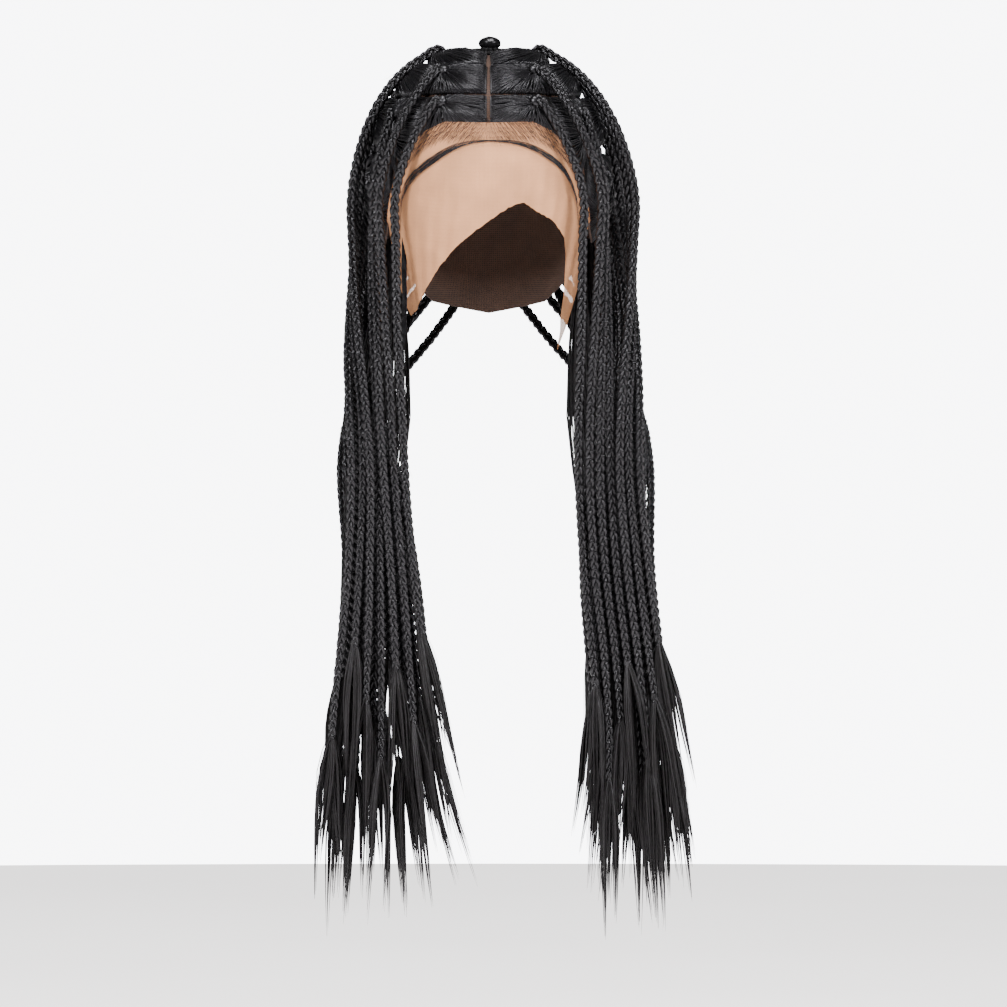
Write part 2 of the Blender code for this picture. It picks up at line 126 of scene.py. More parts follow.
# A lock of baby hair that hangs in front of the right ear. Points from top to tip
HANGING_LOCK = (
    (-0.0585, -0.0560, -0.128), (-0.0590, -0.0585, -0.152), (-0.0582, -0.0600, -0.176),
    (-0.0588, -0.0605, -0.196), (-0.0610, -0.0600, -0.214), (-0.0650, -0.0590, -0.236),
)
HANGING_HAIRS = 44
HANGING_FULL_HAIRS = 12
HANGING_STEPS = 11
HANGING_WIDTH = 0.0017
HANGING_RADIUS = 0.00022

# Short hairs below the hairline. Their span, row step, start, lengths and sweeps are degrees
HAIRLINE_HAIRS = 1100
HAIRLINE_SPAN = 50
HAIRLINE_ROWS = 5
HAIRLINE_ROW_STEP = 1.9
HAIRLINE_START = 2.0
HAIRLINE_LENGTHS = (2.6, 4.0)
HAIRLINE_SWEEPS = (1.8, 3.2)
HAIRLINE_STEPS = 3
HAIRLINE_LIFT = 0.0017
HAIRLINE_RADIUS = 0.00013

# Loose hair under the braids of the wearer's left side. Columns: x, y, z and half its width
UNDER_HAIR = (
    (0.0700, 0.030, -0.128, 0.004), (0.0700, 0.010, -0.165, 0.010), (0.0720, -0.012, -0.205, 0.016),
    (0.0745, -0.036, -0.255, 0.020), (0.0800, -0.053, -0.305, 0.020), (0.0860, -0.064, -0.360, 0.017),
    (0.0890, -0.070, -0.420, 0.015), (0.0910, -0.074, -0.480, 0.014),
)
UNDER_HAIR_STRANDS = 300
UNDER_HAIR_STEPS = 8
UNDER_HAIR_DEPTH = 0.010
UNDER_HAIR_RADIUS = 0.00036

# The plait of the braids, at its full width
PLAIT_PITCH = 0.0192
PLAIT_POINTS = 10
PLAIT_TURNS = 30
STRAND_RADIUS = 0.00150
STRAND_BULGE = 0.24
SWING = 0.00205
LAYER = 0.00120
FLYAWAYS = 36
FLYAWAY_STEPS = 3
FLYAWAY_ROOT = 0.0030
FLYAWAY_RISES = (0.0015, 0.0055)
FLYAWAY_LENGTHS = (0.006, 0.016)
FLYAWAY_RADIUS = 0.00009

# How each braid lies along its solid, whose last rings are its loose hair
TIP_REACH = 0.0025
LOOSE_RINGS = 3
ROUTE_STEP = 0.004
FULL_WIDTH = 1.02
THINNING = 0.14
UNDERLAP = 0.0015
TIE_OVERLAP = 0.006
WORN_LEAN = 0.30
FACING = (0.4, -0.9, 0.15)
STRIP_HEIGHT = 0.001

# How the loose ends of the braids fan out across each bundle
BUNDLE_MIDDLE = 0.082
BUNDLE_HALF = 0.040
FAN_OUT = 0.001
FAN_IN = 0.015
FAN_POWER = 1.4
SWAY = 0.004

# The loose end of a braid
LOOSE_KINDS = 5
LOOSE_LENGTH = 0.1147
LOOSE_CLUMPS = 4
LOOSE_LOCKS = 9
LOOSE_WISPS = 7
LOCK_STEPS = 7
WISP_STEPS = 5
LOCK_RADIUS = 0.00092
WISP_RADIUS = 0.00017
CLUMP_SPREAD = 0.0086
CLUMP_CURLS = (-0.008, 0.010)
LOOSE_SPREAD = 0.0038

# Combed scalp hair and its fine strands
COMB_SPACING = 0.0013
COMB_RADIUS = 0.00064
COMB_OVERHANG = 0.0001
COMB_STEPS = (0, 0.04, 0.17, 0.42, 0.72, 1)
COMB_PUFF = 0.0048
COMB_SWIRL = 0.035
COMB_GATHER = 0.94
COMB_DIP = 0.0003
COMB_RISE = 0.0006
COMB_UNEVEN = 0.0009
SECTION_STEP = 11
SECTION_LEVEL = 8
HAIR_STOP = 0.0004
BASE_REACH = 0.012

# The knots at the braids' roots. The first two are their places as shares of a section's width and height
KNOT_ACROSS = 0.67
KNOT_DOWN = 0.38
KNOT_RADIUS = 0.0052
KNOT_SIDES = 22
KNOT_RINGS = 10
KNOT_FOLDS = (0.86, 0.86, 0.9)
KNOT_SHAPE = (1.0, 0.92, 0.62)


def horizontal_reach(azimuth, offset):
    """Distance from the vertical axis to the head's widest outline, grown by offset, at an azimuth."""
    across = math.sin(math.radians(azimuth)) / (HEAD_HALF_WIDTH + offset)
    along = math.cos(math.radians(azimuth)) / (HEAD_HALF_LENGTH + offset)
    return 1 / math.hypot(across, along)


def dome(azimuth, polar, offset=0.0):
    """Point on the head at an azimuth from the face and a polar angle from the crown, lifted by offset."""
    if polar <= 90:
        across = math.sin(math.radians(max(polar, 0))) ** (2 / DOME_POWER)
        up = math.cos(math.radians(polar)) ** (2 / DOME_POWER) if polar < 90 else 0.0
        height = -CROWN_DROP + (CROWN_DROP + offset) * up
    else:
        below = (polar - 90) / 90
        across = 1 - NAPE_TAPER * below**NAPE_POWER
        height = -CROWN_DROP - NAPE_DROP * below
    reach = horizontal_reach(azimuth, offset) * across
    angle = math.radians(azimuth)
    return Vector((reach * math.sin(angle), -reach * math.cos(angle), height))


def polar_at_drop(drop):
    """Polar angle at which the head's surface is a given drop below the crown."""
    if drop >= CROWN_DROP:
        return 90 + 90 * (drop - CROWN_DROP) / NAPE_DROP
    return math.degrees(math.acos((1 - drop / CROWN_DROP) ** (DOME_POWER / 2)))


def table_value(table, key):
    """A table's second column at a key of its first, straight between its rows, which are in order."""
    if key <= table[0][0]:
        return table[0][1]
    for first, second in zip(table[:-1], table[1:]):
        if key <= second[0]:
            return first[1] + (second[1] - first[1]) * (key - first[0]) / (second[0] - first[0])
    return table[-1][1]


def between_rows(table, place):
    """Row of a table at a place counted in rows, straight between the two rows beside it."""
    row = min(int(place), len(table) - 2)
    t = place - row
    return [first * (1 - t) + second * t for first, second in zip(table[row], table[row + 1])]


def cap_edge_polar(azimuth):
    """Polar angle of the cap's lower edge, the same on both sides."""
    turned = abs((azimuth + 180) % 360 - 180)
    return polar_at_drop(table_value(CAP_EDGE, turned) * CROWN_DROP)


# Working on objects


def take_up(thing):
    """Select one object alone and make it the active one."""
    bpy.ops.object.select_all(action="DESELECT")
    thing.select_set(True)
    bpy.context.view_layer.objects.active = thing


def join(things, name):
    """Join objects into one with a name."""
    take_up(things[0])
    for thing in things[1:]:
        thing.select_set(True)
    bpy.ops.object.join()
    things[0].name = name
    things[0].data.name = name
    return things[0]


def own_copy(thing, name):
    """A copy of an object with a mesh of its own."""
    copy = thing.copy()
    copy.data = thing.data.copy()
    copy.name = name
    copy.data.name = name
    copy.parent = None
    copy.hide_render = False
    copy.hide_viewport = False
    for key in list(copy.keys()):
        del copy[key]
    bpy.context.scene.collection.objects.link(copy)
    return copy


def strands(name, lines, material, fine=0):
    """A mesh of round strands, one along each line of (point, radius)."""
    curve = bpy.data.curves.new(name, "CURVE")
    curve.dimensions = "3D"
    curve.bevel_depth = 1.0
    curve.bevel_resolution = fine
    curve.use_fill_caps = True
    for line in lines:
        spline = curve.splines.new("POLY")
        spline.points.add(len(line) - 1)
        for knot, (point, radius) in zip(spline.points, line):
            knot.co = (*point, 1.0)
            knot.radius = radius
    curve.materials.append(material)
    thing = bpy.data.objects.new(name, curve)
    bpy.context.scene.collection.objects.link(thing)
    take_up(thing)
    bpy.ops.object.convert(target="MESH")
    bpy.ops.object.shade_smooth()
    return thing


def map_over_head(thing):
    """A UV map in metres over the head: around it from the face, and down from the crown."""
    layer = thing.data.uv_layers.new(name="over_head").data
    corners = thing.data.vertices
    for face in thing.data.polygons:
        turns = [math.atan2(corners[corner].co.x, -corners[corner].co.y) for corner in face.vertices]
        for loop, corner, turn in zip(face.loop_indices, face.vertices, turns):
            if turn < max(turns) - math.pi:
                turn += 2 * math.pi
            point = corners[corner].co
            fall = math.hypot(point.x, point.y) if point.z > -CROWN_DROP / 2 else CROWN_DROP / 2 - point.z
            layer[loop].uv = (turn * HEAD_HALF_LENGTH, fall)


def finish_piece(piece, nodes):
    """Let a piece ride with the wig and stand for its solids."""
    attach(piece, "root")
    if nodes:
        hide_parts(*nodes)


# Materials


def link(tree, source, output, target, socket):
    """Join a node's named output to a named socket of another node."""
    tree.links.new(source.outputs[output], target.inputs[socket])


def new_group(name, inputs, outputs):
    """A shader node group with inputs of (name, default), None for a vector, and named number outputs."""
    group = bpy.data.node_groups.new(name, "ShaderNodeTree")
    for label, value in inputs:
        kind = "NodeSocketVector" if value is None else "NodeSocketFloat"
        socket = group.interface.new_socket(label, in_out="INPUT", socket_type=kind)
        if value is not None:
            socket.default_value = value
    for label in outputs:
        group.interface.new_socket(label, in_out="OUTPUT", socket_type="NodeSocketFloat")
    start = group.nodes.new("NodeGroupInput")
    end = group.nodes.new("NodeGroupOutput")
    return group, start, end


def maths(tree, operation, first, second=None):
    """A Math node. Each operand is a number or a (node, output name)."""
    node = tree.nodes.new("ShaderNodeMath")
    node.operation = operation
    for place, operand in enumerate((first, second)):
        if isinstance(operand, tuple):
            tree.links.new(operand[0].outputs[operand[1]], node.inputs[place])
        elif operand is not None:
            node.inputs[place].default_value = operand
    return node


def make_fibre_group():
    """Fine lines that run along a strand, and slow changes of tone. The vector runs along x, around y."""
    inputs = (("Vector", None), ("Along", 1.0), ("Around", 1.0))
    group, start, end = new_group("hair_fibres", inputs, ("Line", "Tone"))
    split = group.nodes.new("ShaderNodeSeparateXYZ")
    link(group, start, "Vector", split, "Vector")
    along = maths(group, "MULTIPLY", (split, "X"), (start, "Along"))
    around = maths(group, "MULTIPLY", (split, "Y"), (start, "Around"))
    place = group.nodes.new("ShaderNodeCombineXYZ")
    link(group, along, "Value", place, "X")
    link(group, around, "Value", place, "Y")
    link(group, split, "Z", place, "Z")
    line = group.nodes.new("ShaderNodeTexNoise")
    line.inputs["Scale"].default_value = 1.0
    line.inputs["Detail"].default_value = 3.0
    link(group, place, "Vector", line, "Vector")
    tone = group.nodes.new("ShaderNodeTexNoise")
    tone.inputs["Scale"].default_value = 0.23
    tone.inputs["Detail"].default_value = 1.0
    link(group, place, "Vector", tone, "Vector")
    link(group, line, "Fac", end, "Line")
    link(group, tone, "Fac", end, "Tone")
    return group


def make_net_group():
    """A fine net of threads around small many-sided holes."""
    inputs = (("Vector", None), ("Scale", 1.0), ("Thread", 1.0))
    group, start, end = new_group("lace_net", inputs, ("Thread", "Height"))
    cells = group.nodes.new("ShaderNodeTexVoronoi")
    cells.feature = "DISTANCE_TO_EDGE"
    cells.inputs["Randomness"].default_value = 0.35
    link(group, start, "Vector", cells, "Vector")
    link(group, start, "Scale", cells, "Scale")
    near = maths(group, "DIVIDE", (cells, "Distance"), (start, "Thread"))
    mask = maths(group, "SUBTRACT", 1.0, (near, "Value"))
    mask.use_clamp = True
    height = maths(group, "SQRT", (mask, "Value"))
    link(group, mask, "Value", end, "Thread")
    link(group, height, "Value", end, "Height")
    return group


def new_material(name):
    """A material with its node tree and its shader."""
    material = bpy.data.materials.new(name)
    material.use_nodes = True
    return material, material.node_tree, material.node_tree.nodes["Principled BSDF"]


def ramp(tree, source, output, stops):
    """A colour ramp fed by a value. Each of its two stops is (place, colour)."""
    node = tree.nodes.new("ShaderNodeValToRGB")
    for element, (place, colour) in zip(node.color_ramp.elements, stops):
        element.position = place
        element.color = (*colour, 1.0)
    link(tree, source, output, node, "Fac")
    return node


def hair_material(name, dark, light, roughness, along, around, source="UV"):
    """Glossy hair. Its lines follow each strand's UV map, or the piece's place where it has none."""
    material, tree, shader = new_material(name)
    place = tree.nodes.new("ShaderNodeTexCoord")
    lines = tree.nodes.new("ShaderNodeGroup")
    lines.node_tree = FIBRES
    lines.inputs["Along"].default_value = along
    lines.inputs["Around"].default_value = around
    link(tree, place, source, lines, "Vector")
    colour = ramp(tree, lines, "Tone", ((0.3, dark), (0.7, light)))
    link(tree, colour, "Color", shader, "Base Color")
    rough = tree.nodes.new("ShaderNodeMapRange")
    rough.inputs["To Min"].default_value = roughness - SMOOTHER_LINES
    rough.inputs["To Max"].default_value = roughness + ROUGHER_LINES
    link(tree, lines, "Line", rough, "Value")
    link(tree, rough, "Result", shader, "Roughness")
    bump = tree.nodes.new("ShaderNodeBump")
    bump.inputs["Strength"].default_value = 0.8
    bump.inputs["Distance"].default_value = FIBRE_DEPTH
    link(tree, lines, "Line", bump, "Height")
    link(tree, bump, "Normal", shader, "Normal")
    shader.inputs["Specular IOR Level"].default_value = HAIR_SHINE
    shader.inputs["Specular Tint"].default_value = (*SHINE_TINT, 1.0)
    return material


def lace_material(name, scale, thread, dark, light, open_alpha=None):
    """Lace net: light threads over dark holes, or over holes that let some light through."""
    material, tree, shader = new_material(name)
    place = tree.nodes.new("ShaderNodeTexCoord")
    weave = tree.nodes.new("ShaderNodeGroup")
    weave.node_tree = NET
    weave.inputs["Scale"].default_value = scale
    weave.inputs["Thread"].default_value = thread
    link(tree, place, "UV", weave, "Vector")
    colour = ramp(tree, weave, "Thread", ((0.0, dark), (0.6, light)))
    cloud = tree.nodes.new("ShaderNodeTexNoise")
    cloud.inputs["Scale"].default_value = 45.0
    link(tree, place, "Object", cloud, "Vector")
    mottle = ramp(tree, cloud, "Fac", ((0.3, (0.78, 0.78, 0.78)), (0.7, (1.0, 1.0, 1.0))))
    mix = tree.nodes.new("ShaderNodeMix")
    mix.data_type = "RGBA"
    mix.blend_type = "MULTIPLY"
    mix.inputs["Factor"].default_value = 1.0
    tree.links.new(colour.outputs["Color"], mix.inputs[6])
    tree.links.new(mottle.outputs["Color"], mix.inputs[7])
    tree.links.new(mix.outputs[2], shader.inputs["Base Color"])
    shader.inputs["Roughness"].default_value = 0.8
    bump = tree.nodes.new("ShaderNodeBump")
    bump.inputs["Strength"].default_value = 0.6
    bump.inputs["Distance"].default_value = 0.0002
    link(tree, weave, "Height", bump, "Height")
    link(tree, bump, "Normal", shader, "Normal")
    if open_alpha is not None:
        clear = tree.nodes.new("ShaderNodeMapRange")
        clear.inputs["To Min"].default_value = open_alpha
        clear.inputs["To Max"].default_value = THREAD_ALPHA
        link(tree, weave, "Thread", clear, "Value")
        link(tree, clear, "Result", shader, "Alpha")
    return material


FIBRES = make_fibre_group()
NET = make_net_group()
FIBRE_DEPTH = 0.0003
SMOOTHER_LINES = 0.10
ROUGHER_LINES = 0.14
HAIR_SHINE = 0.32
SHINE_TINT = (0.96, 0.94, 1.0)
THREAD_ALPHA = 0.95

PLAITED = hair_material(
    "plaited_hair",
    dark=(0.0020, 0.0019, 0.0021),
    light=(0.0045, 0.0041, 0.0045),
    roughness=0.19,
    along=900.0,
    around=34.0,
)
COMBED = hair_material(
    "combed_hair",
    dark=(0.0020, 0.0019, 0.0021),
    light=(0.006, 0.0055, 0.0065),
    roughness=0.29,
    along=6.0,
    around=10.0,
)
LOOSE = hair_material(
    "loose_hair",
    dark=(0.0025, 0.0022, 0.0022),
    light=(0.009, 0.0078, 0.0076),
    roughness=0.38,
    along=8.0,
    around=26.0,
)
UNDER = hair_material(
    "under_hair",
    dark=(0.002, 0.002, 0.002),
    light=(0.006, 0.005, 0.005),
    roughness=0.5,
    along=900.0,
    around=900.0,
    source="Object",
)
CAP_LACE = lace_material(
    "cap_lace",
    scale=700.0,
    thread=0.20,
    dark=(0.024, 0.011, 0.006),
    light=(0.085, 0.038, 0.021),
)
SHEER_LACE = lace_material(
    "sheer_lace",
    scale=1100.0,
    thread=0.25,
    dark=(0.56, 0.245, 0.11),
    light=(0.67, 0.32, 0.155),
    open_alpha=0.90,
)


# Braids


def ring_middles(node):
    """Middle of each ring of points of a braid's solid, from root to tip."""
    solid = bmesh.new()
    solid.from_mesh(node.data)
    bmesh.ops.remove_doubles(solid, verts=solid.verts, dist=MERGE)
    lowest = min(solid.verts, key=lambda corner: corner.co.z).co.copy()
    ring = {corner for corner in solid.verts if (corner.co - lowest).length < TIP_REACH}
    seen = set(ring)
    middles = []
    while ring:
        middles.append(sum((corner.co for corner in ring), Vector()) / len(ring))
        beyond = {edge.other_vert(corner) for corner in ring for edge in corner.link_edges}
        ring = beyond - seen
        seen |= ring
    solid.free()
    return middles[::-1]


def smooth_route(middles):
    """A smooth line through the middles of a braid's rings.

    Gives close points, each with its place among the rings, and the line's length up to each point.
    """
    runs = [(second - first).length for first, second in zip(middles[:-1], middles[1:])]
    slopes = []
    for place in range(len(middles)):
        before, after = max(place - 1, 0), min(place, len(runs) - 1)
        first = (middles[before + 1] - middles[before]) / runs[before]
        second = (middles[after + 1] - middles[after]) / runs[after]
        share = runs[before] / (runs[before] + runs[after])
        slopes.append(first * (1 - share) + second * share)
    points = []
    for place, run in enumerate(runs):
        count = max(3, round(run / ROUTE_STEP))
        for step in range(count + (place == len(runs) - 1)):
            t = step / count
            point = (
                middles[place] * (2 * t**3 - 3 * t**2 + 1)
                + slopes[place] * run * (t**3 - 2 * t**2 + t)
                + middles[place + 1] * (3 * t**2 - 2 * t**3)
                + slopes[place + 1] * run * (t**3 - t**2)
            )
            points.append((point, place + t))
    lengths = [0.0]
    for first, second in zip(points[:-1], points[1:]):
        lengths.append(lengths[-1] + (second[0] - first[0]).length)
    return points, lengths


def make_plait():
    """A long plait of three strands along +X, wide along Y and flatter along Z, to be cut for each braid."""
    lines = []
    for strand in range(3):
        line = []
        for step in range(PLAIT_POINTS * PLAIT_TURNS + 1):
            phase = 2 * math.pi * (step / PLAIT_POINTS + strand / 3)
            point = (PLAIT_PITCH * step / PLAIT_POINTS, SWING * math.sin(phase), LAYER * math.sin(2 * phase))
            line.append((point, STRAND_RADIUS * (1 + STRAND_BULGE * (abs(math.sin(2 * phase)) - 0.5))))
        lines.append(line)
    plait = strands("plait", lines, PLAITED, fine=1)
    dice = random.Random(29)
    lines = []
    for hair in range(FLYAWAYS):
        start = dice.uniform(0.01, 0.98) * PLAIT_PITCH * PLAIT_TURNS
        angle = dice.uniform(0, 2 * math.pi)
        length = dice.uniform(*FLYAWAY_LENGTHS)
        rise = dice.uniform(*FLYAWAY_RISES)
        line = []
        for step in range(FLYAWAY_STEPS + 1):
            t = step / FLYAWAY_STEPS
            out = FLYAWAY_ROOT + rise * t**1.6
            point = (start + length * t, out * math.cos(angle), out * math.sin(angle))
            line.append((point, FLYAWAY_RADIUS * (1 - 0.7 * t)))
        lines.append(line)
    return join([plait, strands("flyaways", lines, PLAITED)], "plait")


def make_loose_end(kind):
    """The loose hair below a plait along +X: clumps of locks and wisps that bow apart and come to points."""
    dice = random.Random(kind)
    lines = []
    for clump in range(LOOSE_CLUMPS):
        away = 2 * math.pi * (clump + dice.uniform(-0.3, 0.3)) / LOOSE_CLUMPS
        spread = CLUMP_SPREAD * dice.uniform(0.35, 1.0)
        curl = dice.uniform(*CLUMP_CURLS)
        full = LOOSE_LENGTH * dice.uniform(0.72, 1.0)
        for lock in range(LOOSE_LOCKS + LOOSE_WISPS):
            wisp = lock >= LOOSE_LOCKS
            angle = dice.uniform(0, 2 * math.pi)
            reach = LOOSE_SPREAD * math.sqrt(dice.uniform(0.02, 1.0)) * (1.3 if wisp else 1.0)
            length = full * dice.uniform(0.60 if wisp else 0.74, 1.0)
            steps = WISP_STEPS if wisp else LOCK_STEPS
            thick = WISP_RADIUS if wisp else LOCK_RADIUS
            line = []
            for step in range(steps + 1):
                share = step / steps
                opened = math.sin(min(1.0, share / 0.5) * math.pi / 2)
                out = spread * opened + curl * share**2
                own = reach * (0.35 + 0.65 * opened - 0.75 * share**2.2)
                point = (
                    length * share,
                    out * math.cos(away) + own * math.cos(angle),
                    out * math.sin(away) + own * math.sin(angle),
                )
                taper = (1 - share**1.8) * (0.8 + 0.5 * math.sin(math.pi * share))
                line.append((point, thick * max(0.07, taper)))
            lines.append(line)
    return strands(f"loose_end_{kind}", lines, LOOSE)


def make_knot():
    """The knot of hair at a braid's root, drawn in between its gathered strands. It faces along +Z."""
    bpy.ops.object.select_all(action="DESELECT")
    bpy.ops.mesh.primitive_uv_sphere_add(segments=KNOT_SIDES, ring_count=KNOT_RINGS, radius=KNOT_RADIUS)
    knot = bpy.context.object
    knot.name = "knot"
    bpy.ops.object.mode_set(mode="EDIT")
    bpy.ops.mesh.select_all(action="DESELECT")
    shape = bmesh.from_edit_mesh(knot.data)
    for corner in shape.verts:
        turn = math.atan2(corner.co.y, corner.co.x) / (2 * math.pi) * KNOT_SIDES
        away = math.hypot(corner.co.x, corner.co.y)
        corner.select_set(round(turn) % 2 == 0 and away > KNOT_RADIUS * 0.2)
    shape.select_flush_mode()
    bmesh.update_edit_mesh(knot.data)
    bpy.ops.transform.resize(value=KNOT_FOLDS)
    bpy.ops.mesh.select_all(action="SELECT")
    bpy.ops.transform.resize(value=KNOT_SHAPE)
    bpy.ops.object.mode_set(mode="OBJECT")
    bpy.ops.object.transform_apply(location=True, rotation=True, scale=True)
    knot.data.materials.append(COMBED)
    bpy.ops.object.shade_smooth()
    return knot


def cut_to(thing, length):
    """Cut a plait off square at a length along +X, and close the cut."""
    take_up(thing)
    bpy.ops.object.mode_set(mode="EDIT")
    bpy.ops.mesh.select_all(action="SELECT")
    bpy.ops.mesh.bisect(plane_co=(length, 0, 0), plane_no=(1, 0, 0), use_fill=True, clear_outer=True)
    bpy.ops.object.mode_set(mode="OBJECT")


def face_front(route, points, lengths):
    """Tilts in radians along a route that turn a plait's flat side to the front, found with a laid strip."""
    last = len(points) - 1
    bpy.ops.object.select_all(action="DESELECT")
    bpy.ops.mesh.primitive_grid_add(x_subdivisions=last, y_subdivisions=1, size=2)
    strip = bpy.context.object
    places = [(round((corner.co.x + 1) / 2 * last), corner.co.y > 0) for corner in strip.data.vertices]
    for corner, (place, raised) in zip(strip.data.vertices, places):
        corner.co = (lengths[place], 0, STRIP_HEIGHT if raised else 0)
    follow = strip.modifiers.new("follow route", "CURVE")
    follow.object = route
    follow.deform_axis = "POS_X"
    bpy.ops.object.modifier_apply(modifier=follow.name)
    laid = {key: corner.co.copy() for key, corner in zip(places, strip.data.vertices)}
    bpy.data.objects.remove(strip)
    tilts = []
    for place in range(last + 1):
        before, after = max(place - 1, 0), min(place + 1, last)
        along = (points[after][0] - points[before][0]).normalized()
        upright = (laid[place, True] - laid[place, False]).normalized()
        wanted = Vector((math.copysign(FACING[0], points[-1][0].x), *FACING[1:]))
        wanted -= along * wanted.dot(along)
        tilt = math.atan2(along.dot(upright.cross(wanted)), upright.dot(wanted))
        if tilts:
            tilt += math.pi * round((tilts[-1] - tilt) / math.pi)
        tilts.append(tilt)
    return tilts


def make_route(name, points, lengths, braided, dice):
    """The curve that a braid is bent along. It thins downwards, and its loose end swings a little aside."""
    curve = bpy.data.curves.new(name, "CURVE")
    curve.dimensions = "3D"
    curve.twist_mode = "MINIMUM"
    spline = curve.splines.new("POLY")
    spline.points.add(len(points) - 1)
    lean = dice.uniform(-WORN_LEAN, WORN_LEAN)
    tip = points[-1][0]
    spread = (abs(tip.x) - BUNDLE_MIDDLE) / BUNDLE_HALF
    fan = spread * (FAN_OUT if spread > 0 else FAN_IN) + dice.uniform(-SWAY, SWAY)
    swing = Vector((math.copysign(1, tip.x) * fan, dice.uniform(-SWAY, SWAY), 0))
    for knot_point, (point, place), length in zip(spline.points, points, lengths):
        beyond = max(0.0, length - braided) / (lengths[-1] - braided)
        knot_point.co = (*(point + swing * beyond**FAN_POWER), 1.0)
        share = min(1.0, length / braided)
        knot_point.radius = FULL_WIDTH - THINNING * share**2
    route = bpy.data.objects.new(name, curve)
    bpy.context.scene.collection.objects.link(route)
    for knot_point, tilt in zip(spline.points, face_front(route, points, lengths)):
        knot_point.tilt = tilt + lean
    return route


def make_braid(node_name, plait, loose_ends, knot, dice):
    """One braid with its knot and its loose end, laid along the middle line of its solid."""
    middles = ring_middles(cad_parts[node_name])
    points, lengths = smooth_route(middles)
    last_plaited = len(middles) - LOOSE_RINGS
    braided = next(length for (point, place), length in zip(points, lengths) if place >= last_plaited)
    route = make_route(node_name + "_route", points, lengths, braided, dice)

    plaited = own_copy(plait, node_name + "_plait")
    cut_to(plaited, braided)
    loose = own_copy(dice.choice(loose_ends), node_name + "_loose")
    take_up(loose)
    bpy.ops.object.mode_set(mode="EDIT")
    bpy.ops.mesh.select_all(action="SELECT")
    bpy.ops.transform.rotate(value=dice.uniform(0, 2 * math.pi), orient_axis="X", center_override=(0, 0, 0))
    stretch = (lengths[-1] - braided + TIE_OVERLAP) / LOOSE_LENGTH
    bpy.ops.transform.resize(value=(stretch, 1, 1), center_override=(0, 0, 0))
    bpy.ops.transform.translate(value=(braided - TIE_OVERLAP, 0, 0))
    bpy.ops.object.mode_set(mode="OBJECT")
    piece = join([plaited, loose], node_name.replace("braid", "plaited"))
    follow = piece.modifiers.new("follow route", "CURVE")
    follow.object = route
    follow.deform_axis = "POS_X"
    take_up(piece)
    bpy.ops.object.modifier_apply(modifier=follow.name)

    root = own_copy(knot, node_name + "_knot")
    facing = (middles[1] - middles[0]).normalized()
    turned = facing.to_track_quat("Z", "Y").to_matrix().to_4x4()
    turned.translation = middles[0] + facing * UNDERLAP
    if node_name == TOP_KNOT_BRAID:
        turned.translation += facing * TOP_KNOT_RISE
        turned = turned @ Matrix.Scale(TOP_KNOT_SIZE, 4)
    root.data.transform(turned)
    piece = join([piece, root], piece.name)
    bpy.data.objects.remove(route)
    finish_piece(piece, [node_name])


def make_braids():
    """Every braid, from one plait, one knot and a few kinds of loose end."""
    dice = random.Random(5)
    plait = make_plait()
    loose_ends = [make_loose_end(kind) for kind in range(LOOSE_KINDS)]
    knot = make_knot()
    for name in sorted(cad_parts):
        if name.startswith("braid_"):
            make_braid(name, plait, loose_ends, knot, dice)
    for model in (plait, knot, *loose_ends):
        bpy.data.objects.remove(model)


# Scalp hair


def section_bounds(ring, index):
    """Azimuths of the two sides of a section of hair, half a parting in from the parts beside it."""
    name, top, bottom, parts = ring
    first, last = parts[index], parts[index + 1]
    middle = (first + last) / 2
    around = dome(middle, (top + min(bottom, cap_edge_polar(middle))) / 2).xy.length
    inset = math.degrees(PART_WIDTH / 2 / around)
    return first + inset, last - inset


def section_polar(ring, azimuth, share):
    """Polar angle at a share of the way down a ring of hair, to the next ring's part or the cap's edge."""
    name, top, bottom, parts = ring
    edge = cap_edge_polar(azimuth) - math.degrees(HAIR_STOP / CROWN_DROP)
    if bottom > edge - math.degrees(EDGE_BAND / CROWN_DROP):
        bottom = edge
    else:
        lower_parts = RINGS[RINGS.index(ring) + 1][3]
        if lower_parts[0]:
            bare = min(1.0, max(0.0, (lower_parts[0] + RING_BLEND / 2 - azimuth) / RING_BLEND))
            bottom += (edge - bottom) * bare
    return top + (bottom - top) * share


def laid_on(base, azimuth, polar, lift):
    """Point over the head, lifted from the surface of the base where the base lies there."""
    outer = dome(azimuth, polar, BASE_REACH)
    inner = dome(azimuth, polar, 0.0)
    hit, place, normal, face = base.ray_cast(outer, inner - outer)
    if hit and (place - outer).length < BASE_REACH * 1.2:
        return place + (outer - inner).normalized() * lift
    return dome(azimuth, polar, CAP_WALL + lift)


